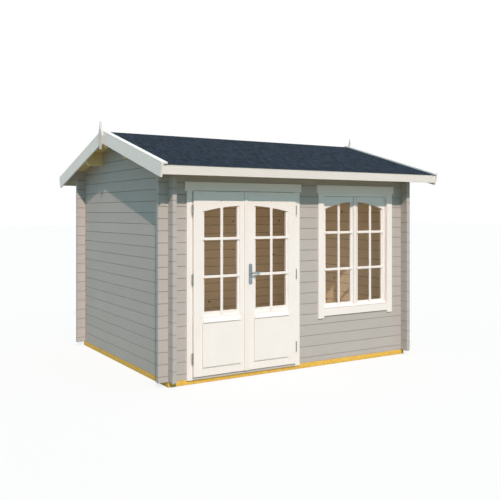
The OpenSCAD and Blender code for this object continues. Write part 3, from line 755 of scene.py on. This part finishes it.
WINDOW_MID = 2277.5
LEFT_SASH_OPENING = (1857.3, 2245.5)
RIGHT_SASH_OPENING = (2309.5, 2697.7)
SEAL = 2.6
sash_lo, sash_hi = mm_box("window_sashes")
sash_cuts = []
for opening, outer_x, inward, outward in ((LEFT_SASH_OPENING, sash_lo.x + SEAL, RIGHT, LEFT),
                                          (RIGHT_SASH_OPENING, sash_hi.x - SEAL, LEFT, RIGHT)):
    edges = [((WINDOW_MID, 0, 0), inward), ((outer_x, 0, 0), outward), ((0, 0, sash_hi.z - SEAL), UP)]
    for finish, planes in framed(*opening, ((None, 700.0), (1500.0, None))):
        sash_cuts.append((finish, planes + edges))
members("window_sashes", "cabin", sash_cuts, 2.0)


# ---------------------------------------------------------------- glass, beads and bars

def under_arch(piece, x, y, arch):
    """Saws a piece off just under an arch, given as (middle, crown, radius)."""
    middle, crown, radius = arch
    clear = 0.3
    rise = math.sqrt(radius * radius - (x - middle) ** 2)
    trim_by(piece, (x, y, crown - radius + rise - clear), Vector((x - middle, 0, rise)).normalized())


def glazing(name, body, opening, panes, faces, beads, arch, bars):
    """Beads in front of and behind the glass, and the bars that lie over the front ones. The opening is
    (left, right, foot), panes and faces are depths, and bars are (middle, foot, heights of the levels)."""
    clear, bed, spare, rounding, sunk = 0.05, 0.3, 30.0, 2.5, 3.0
    x0, x1, z0 = opening
    glass_front, glass_back = panes
    bead_face, bar_face, back = faces
    side_bead, low_bead = beads
    inner_x0, inner_x1, low_top, over = x0 + side_bead, x1 - side_bead, z0 + low_bead, arch[1] + spare
    pieces = []
    for y0, y1, show in ((bead_face, glass_front - bed, bead_face), (glass_back + bed, back, back)):
        for a, b, inner in ((x0 + clear, inner_x0, inner_x0), (inner_x1, x1 - clear, inner_x1)):
            bead = stick("bead", (a, y0, z0 + clear), (b, y1, over))
            under_arch(bead, (a + b) / 2, y0, arch)
            round_edge(bead, lambda p: abs(p.x - inner) < 0.5 and abs(p.y - show) < 0.5, rounding)
            pieces.append(bead)
        low = stick("bead", (inner_x0 + clear, y0, z0 + clear), (inner_x1 - clear, y1, low_top))
        if show == bead_face:
            push(low, lambda p: p.z > low_top - 1 and abs(p.y - show) < 0.5, (0, 0, -sunk))
        round_edge(low, lambda p: p.z > low_top - sunk - 1 and abs(p.y - show) < 0.5, rounding)
        pieces.append(low)
    half_up, half_level, let_in, lift, off_bead = 14.0, 13.5, 0.4, 0.4, 0.1
    bar_x, bar_foot, level_zs = bars
    upright = stick("bar", (bar_x - half_up, bar_face, z0 + bar_foot),
                    (bar_x + half_up, bead_face - off_bead, over))
    under_arch(upright, bar_x, bar_face, arch)
    bar_sticks = [upright]
    for z in level_zs:
        bar_sticks.append(stick("bar", (x0 + let_in, bar_face - lift, z - half_level),
                                (x1 - let_in, bead_face - off_bead, z + half_level)))
    for bar in bar_sticks:
        ease(bar, 2.6)
    fit_new(join(pieces + bar_sticks, name), body, trim_up, PAINT)


def weather_bar(name, body, x0, x1, face, out, z0, z1):
    """A sloping bar that throws rain clear of the rail under it, undercut to let it drip."""
    top_lip, undercut = 3.5, 3.0
    bar = stick(name, (x0, face - out, z0), (x1, face - 0.3, z1))
    push(bar, lambda p: p.z > z1 - 1 and p.y < face - out + 1, (0, out - top_lip, 0))
    push(bar, lambda p: p.z < z0 + 1 and p.y > face - 1, (0, 0, undercut))
    ease(bar, 1.4, 2, 20)
    fit_new(bar, body, trim_across, PAINT)


# The raised boards lap the leaf round its panel, and stand proud of it.
RAISED_FOOT, RAISED_HEAD, RAISED_LAP, RAISED_PROUD = 105.0, 533.0, 4.0, 14.0


def panel_boards(name, body, node_name):
    """Boards in the opening under the glass, with raised matched boards over them."""
    lo, hi = mm_box(node_name)
    count, set_back, joint, bed = 6, 3.0, 0.15, 0.2
    wide = (hi.x - lo.x) / count
    board = stick("board", (lo.x + joint, lo.y + set_back, lo.z), (lo.x + wide - joint, hi.y, hi.z))
    ease(board, 1.3, 1)
    boards = row_of(board, count, (wide, 0, 0))
    x0, joint = lo.x - RAISED_LAP, 0.05
    wide = (hi.x - lo.x + 2 * RAISED_LAP) / count
    raised = stick("board", (x0 + joint, leaf_lo.y - RAISED_PROUD, RAISED_FOOT),
                   (x0 + wide - joint, leaf_lo.y - bed, RAISED_HEAD))
    ease(raised, 0.6, 1)
    boards += row_of(raised, count, (wide, 0, 0))
    fit_new(join(boards, name), body, trim_up, PAINT, node_name)


def leaf_shade_lines(name, body, node_name, strip_name=None):
    """Dark strips on the face of a leaf, beside its raised boards and beside its cover strip: painted shade
    lines where these edges throw shade.
    """
    lo, hi = mm_box(node_name)
    near, far, strip_far, proud, deep = 0.05, 1.3, 1.1, 0.5, 0.6
    left, right = lo.x - RAISED_LAP, hi.x + RAISED_LAP
    foot, head = RAISED_FOOT + 1, RAISED_HEAD - 1
    edges = [(left - far, left - near, foot, head), (right + near, right + far, foot, head)]
    if strip_name:
        lo, hi = mm_box(strip_name)
        edges.append((lo.x - strip_far, lo.x - near, lo.z + 1, hi.z - 1))
    shade_lines = [stick("joint", (x0, leaf_lo.y - proud, z0), (x1, leaf_lo.y + deep, z1))
              for x0, x1, z0, z1 in edges]
    for joint in shade_lines:
        ease(joint, 0.2, 1)
    fit_new(join(shade_lines, name), body, seal_and_shade_dark, PAINT)


for pane in ("left_leaf_glass", "right_leaf_glass", "window_glass"):
    dress(pane, pane_glass)

# Arches are (middle, crown, radius).
DOOR_ARCH = (DOOR_MID, 1664.5, 2090.0)
WINDOW_ARCH = (WINDOW_MID, 1714.0, 1116.0)
LEFT_BAR, RIGHT_BAR = 556.0, 1134.0
glass_lo, glass_hi = mm_box("left_leaf_glass")
leaf_lo, leaf_hi = mm_box("left_leaf")
leaf_faces = (-24.5, leaf_lo.y - 2.5, leaf_hi.y - 4)
for name, body, (x0, x1), bar_x, strip_name in (
        ("left_leaf", "left_door", LEFT_OPENING, LEFT_BAR, "meeting_strip"),
        ("right_leaf", "right_door", RIGHT_OPENING, RIGHT_BAR, None)):
    glazing(name + "_glazing", body, (x0, x1, 596.0), (glass_lo.y, glass_hi.y), leaf_faces, (22.0, 40.0),
            DOOR_ARCH, (bar_x, 7.0, (1342.0, 975.0)))
    weather_bar(name + "_weather_bar", body, x0 + 0.4, x1 - 0.4, leaf_lo.y, 26.5, 536.0, 576.0)
    panel_boards(name + "_boards", body, name + "_panel")
    leaf_shade_lines(name + "_joints", body, name + "_panel", strip_name)

pane_lo, pane_hi = mm_box("window_glass")
SASH_FACE = 18.0
STRIP_HALF = 18.0
for name, (x0, x1), bar_x, sash_x0, sash_x1 in (
        ("left_sash", LEFT_SASH_OPENING, 2052.0, sash_lo.x + 2, WINDOW_MID - STRIP_HALF),
        ("right_sash", RIGHT_SASH_OPENING, 2503.0, WINDOW_MID + STRIP_HALF, sash_hi.x - 2)):
    glazing(name + "_glazing", "cabin", (x0, x1, 582.0), (pane_lo.y, pane_hi.y), (28.0, 15.0, 49.0),
            (21.5, 26.0), WINDOW_ARCH, (bar_x, 5.0, (1379.0, 978.0)))
    weather_bar(name + "_weather_bar", "cabin", sash_x0, sash_x1, SASH_FACE, 12.0, 561.0, 580.0)


def sash_seals_and_shade_lines():
    """Dark rubber seals in the gap round the sashes, whose darkness also paints the gap's shade, and dark
    strips along both edges of their cover strip, which are painted shade lines.
    """
    lo, hi = sash_lo, sash_hi
    front, back, clear, foot = 21.0, 26.0, 0.1, lo.z + 3
    strips = [stick("seal", (lo.x + clear, front, foot), (lo.x + SEAL - clear, back, hi.z - clear)),
              stick("seal", (hi.x - SEAL + clear, front, foot), (hi.x - clear, back, hi.z - clear)),
              stick("seal", (lo.x + SEAL, front, hi.z - SEAL + clear), (hi.x - SEAL, back, hi.z - clear))]
    # Painted shade lines beside the cover strip: the right one lies a little off its edge, where the strip's
    # shade falls.
    for x, wide in ((WINDOW_MID - 17.3, 1.2), (WINDOW_MID + 20.4, 4.0)):
        strips.append(stick("seal", (x, SASH_FACE - 1.1, lo.z + 28),
                            (x + wide, SASH_FACE + 0.6, hi.z - SEAL - 1)))
    for strip in strips:
        ease(strip, 0.3, 1)
    fit_new(join(strips, "sash_seals_and_shade_lines"), "cabin", seal_and_shade_dark, PAINT)


sash_seals_and_shade_lines()


# ---------------------------------------------------------------- hinges and handle

def knob(name, x, y, z, radius, length, axis="Z"):
    """A small turned end with a rounded face, round a point in millimetres."""
    start()
    bpy.ops.mesh.primitive_cylinder_add(vertices=20, radius=radius / 1000, depth=length / 1000,
                                        location=at(x, y, z))
    piece = bpy.context.object
    piece.name = name
    if axis == "Y":
        piece.rotation_euler = (math.radians(90), 0, 0)
    settle(piece)
    ease(piece, min(radius, length / 2) * 0.55, 2, 40, 35)
    return piece


def pegs(name, body, finish, places, radius):
    """Small round heads on a face that looks toward the front or the back."""
    heads = [knob("peg", x, y, z, radius, 2.6, "Y") for x, y, z in places]
    fit_new(join(heads, name), body, finish, PAINT)


def hinge_caps():
    """The caps on both ends of each hinge pin."""
    pin_y, half_hinge = -30.0, 52.5
    ends = [knob("cap", x, pin_y, z + end, 5.6, 5.0) for x in (241.0, 1449.0) for z in (196.0, 953.0, 1612.0)
            for end in (half_hinge, -half_hinge)]
    fit_new(join(ends, "hinge_pin_caps"), "cabin", hinge_steel, "hinge_steel")


def lever_arm(face, out, x, z):
    """A round lever: straight out from its plate, round an elbow, along, and a little back at its end."""
    radius, elbow, reach, along, crook_radius, tip = 9.8, 14.0, 49.0, 42.0, 35.0, 14.0
    crook, raised = math.radians(50), math.radians(6)
    foot = face + out

    def draw_out(*step):
        bpy.ops.mesh.extrude_region_move(TRANSFORM_OT_translate={"value": tuple(Vector(step) / 1000)})

    start()
    bpy.ops.mesh.primitive_circle_add(vertices=24, radius=radius / 1000, fill_type="NGON",
                                      location=at(x, foot, z))
    arm = bpy.context.object
    arm.name = "lever"
    arm.rotation_euler = (math.radians(90), 0, 0)
    settle(arm)
    open_up(arm)
    draw_out(0, out * (reach - elbow), 0)
    bpy.ops.mesh.spin(steps=8, angle=math.radians(90) * out, axis=UP,
                      center=at(x + elbow, foot + out * (reach - elbow), z))
    draw_out(along, 0, 0)
    bpy.ops.mesh.spin(steps=8, angle=crook * out, axis=UP,
                      center=at(x + elbow + along, foot + out * (reach - crook_radius), z))
    draw_out(tip * math.cos(crook), -out * tip * math.sin(crook), 0)
    bpy.ops.mesh.select_all(action="SELECT")
    bpy.ops.transform.rotate(value=raised, orient_axis="Y", center_override=at(x, face, z))
    open_up(arm)
    bpy.ops.mesh.remove_doubles(threshold=MERGE)
    bpy.ops.mesh.normals_make_consistent(inside=False)
    close_up()
    ease(arm, 3.0, 3, 50, 35)
    return arm


def lever_and_rose():
    """The lever on both sides of the leaf, and the roses, locks and screws on its plates."""
    x, z, lock_z, plate_z, screw_rise, plate = 883.0, 992.0, 932.0, 980.0, 86.0, 8.0
    front, back = leaf_lo.y - plate, leaf_hi.y + plate
    pieces = [lever_arm(leaf_lo.y, -1, x, z), lever_arm(leaf_hi.y, 1, x, z),
              knob("spindle", x, (leaf_lo.y + leaf_hi.y) / 2, z, 5.0, 60.0, "Y")]
    fit_new(join(pieces, "lever_bent"), "lever", handle_steel, STEEL, "lever_handle")
    heads, holes = [], []
    for face, out in ((front, -1), (back, 1)):
        heads += [knob("rose", x, face + out * 1.5, z, 13.5, 3.4, "Y"),
                  knob("lock", x, face + out * 1.4, lock_z, 8.0, 4.0, "Y")]
        heads += [knob("screw", x, face, plate_z + rise, 3.6, 2.4, "Y") for rise in (-screw_rise, screw_rise)]
        # Painted shade: a thin dark block on each lock stands for the shade inside its keyhole.
        low, high = sorted((face + out * 3.0, face + out * 3.9))
        holes.append(stick("keyway", (x - 1.1, low, lock_z - 5), (x + 1.1, high, lock_z + 5)))
    for hole in holes:
        ease(hole, 0.4, 1)
    fit_new(join(heads, "plate_roses_and_screws"), "right_door", screw_steel, STEEL)
    fit_new(join(holes, "keyway_shades"), "right_door", lock_dark, STEEL)


for hinges, body in (("frame_hinges", "cabin"), ("left_leaf_hinges", "left_door"),
                     ("right_leaf_hinges", "right_door")):
    sanded_copy(hinges, body, hinge_steel, "hinge_steel", 0.7, 1)
hinge_caps()
sanded_copy("handle_plates", "right_door", handle_steel, STEEL, 2.2, 3)
lever_and_rose()


# ---------------------------------------------------------------- pegs, screws and nails

def screws_down(node_name, lowest, step, count):
    """Places of the screws down both posts of a casing."""
    lo, hi = mm_box(node_name)
    inset = 28.0
    return [(x, lo.y, lowest + step * k) for k in range(count) for x in (lo.x + inset, hi.x - inset)]


def fascia_nails():
    """Two nails, one over the other, every 540 mm along both fascias."""
    lo, hi = mm_box("fascias")
    half_apart = 24.0
    places = [(x, y, (lo.z + hi.z) / 2 + rise) for x in range(-120, 3200, 540)
              for rise in (-half_apart, half_apart) for y in (lo.y, hi.y)]
    pegs("fascia_nails", "cabin", fascia_paint, places, 2.6)


for body, bar_x in (("left_door", LEFT_BAR), ("right_door", RIGHT_BAR)):
    pegs(body + "_pegs", body, lock_dark, [(bar_x, y, 1706.0) for y in (leaf_lo.y, leaf_hi.y)], 3.6)
pegs("casing_screws", "cabin", trim_up,
     screws_down("door_casing", 170, 390, 5) + screws_down("window_casing", 620, 370, 4), 3.2)
fascia_nails()


# ---------------------------------------------------------------- camera, ground and light

def set_camera():
    lens_camera = bpy.data.cameras.new("path_camera")
    camera = bpy.data.objects.new("path_camera", lens_camera)
    bpy.context.scene.collection.objects.link(camera)
    camera.location = (-4.228, -7.231, 1.648)
    camera.rotation_euler = (math.radians(90), 0, math.radians(-32.063))
    lens_camera.sensor_width = 36
    lens_camera.lens = 49.92
    lens_camera.shift_x = -0.0198
    lens_camera.shift_y = -0.0748
    lens_camera.clip_end = 300
    bpy.context.scene.camera = camera


def seen_rays(tree):
    """1 for rays that show a surface to the eye, straight on or by a mirror or a pane."""
    path = node(tree, "LightPath")
    first = sums(tree, "ADD", path.outputs["Is Camera Ray"], path.outputs["Is Glossy Ray"])
    return sums(tree, "MINIMUM", sums(tree, "ADD", first, path.outputs["Is Transmission Ray"]), 1.0)


def clear_sky():
    """A sky that is white to look at, and lights the cabin with a soft blue, weaker from the left."""
    sky = bpy.data.worlds.new("clear_sky")
    bpy.context.scene.world = sky
    sky.use_nodes = True
    tree = sky.node_tree
    toward = parts_of(tree, node(tree, "TexCoord").outputs["Generated"])[0]
    weaker = spread(tree, toward, -1.0, 0.1, 0.30, 0.0)
    fill = blend(tree, weaker, (0.300, 0.575, 0.685, 1), (0.0, 0.0, 0.0, 1))
    put(tree.nodes["Background"].inputs["Color"], blend(tree, seen_rays(tree), fill, (1.0, 1.0, 1.0, 1)))


def pale_ground():
    """Ground that is near white to look at, keeps the cabin's shadow, and throws back less light."""
    start()
    bpy.ops.mesh.primitive_plane_add(size=160)
    ground = bpy.context.object
    ground.name = "pale_ground"
    pale, tree, shader = new_finish("pale_ground")
    put(shader.inputs["Base Color"],
        blend(tree, seen_rays(tree), (0.255, 0.253, 0.195, 1), (0.99, 0.94, 0.89, 1)))
    put(shader.inputs["Roughness"], 1.0)
    put(shader.inputs["Specular IOR Level"], 0.0)
    glow = node(tree, "Emission")
    mixed = node(tree, "MixShader")
    put(mixed.inputs[0], times(tree, seen_rays(tree), 0.8))
    put(mixed.inputs[1], shader.outputs[0])
    put(mixed.inputs[2], glow.outputs[0])
    put(tree.nodes["Material Output"].inputs["Surface"], mixed.outputs[0])
    ground.data.materials.append(pale)


def lamps():
    """Morning sun from the front left, and a soft light in the room for what comes in by the panes."""
    start()
    bpy.ops.object.light_add(type="SUN")
    sun = bpy.context.object
    sun.name = "morning_sun"
    sun.rotation_euler = Vector((-0.378, -1.0, 0.830)).to_track_quat("Z", "Y").to_euler()
    sun.data.energy = 2.95
    sun.data.color = (1.0, 0.83, 0.72)
    sun.data.angle = math.radians(0.6)
    start()
    bpy.ops.object.light_add(type="POINT", location=at(CABIN_W / 2 + 480, CABIN_D / 2, 950))
    lamp = bpy.context.object
    lamp.name = "room_light"
    lamp.data.energy = 6.4
    lamp.data.color = (1.0, 0.97, 0.92)
    lamp.data.shadow_soft_size = 0.35
    lamp.visible_camera = False
    lamp.visible_glossy = False


set_camera()
clear_sky()
pale_ground()
lamps()
bpy.context.scene.view_settings.view_transform = "Standard"
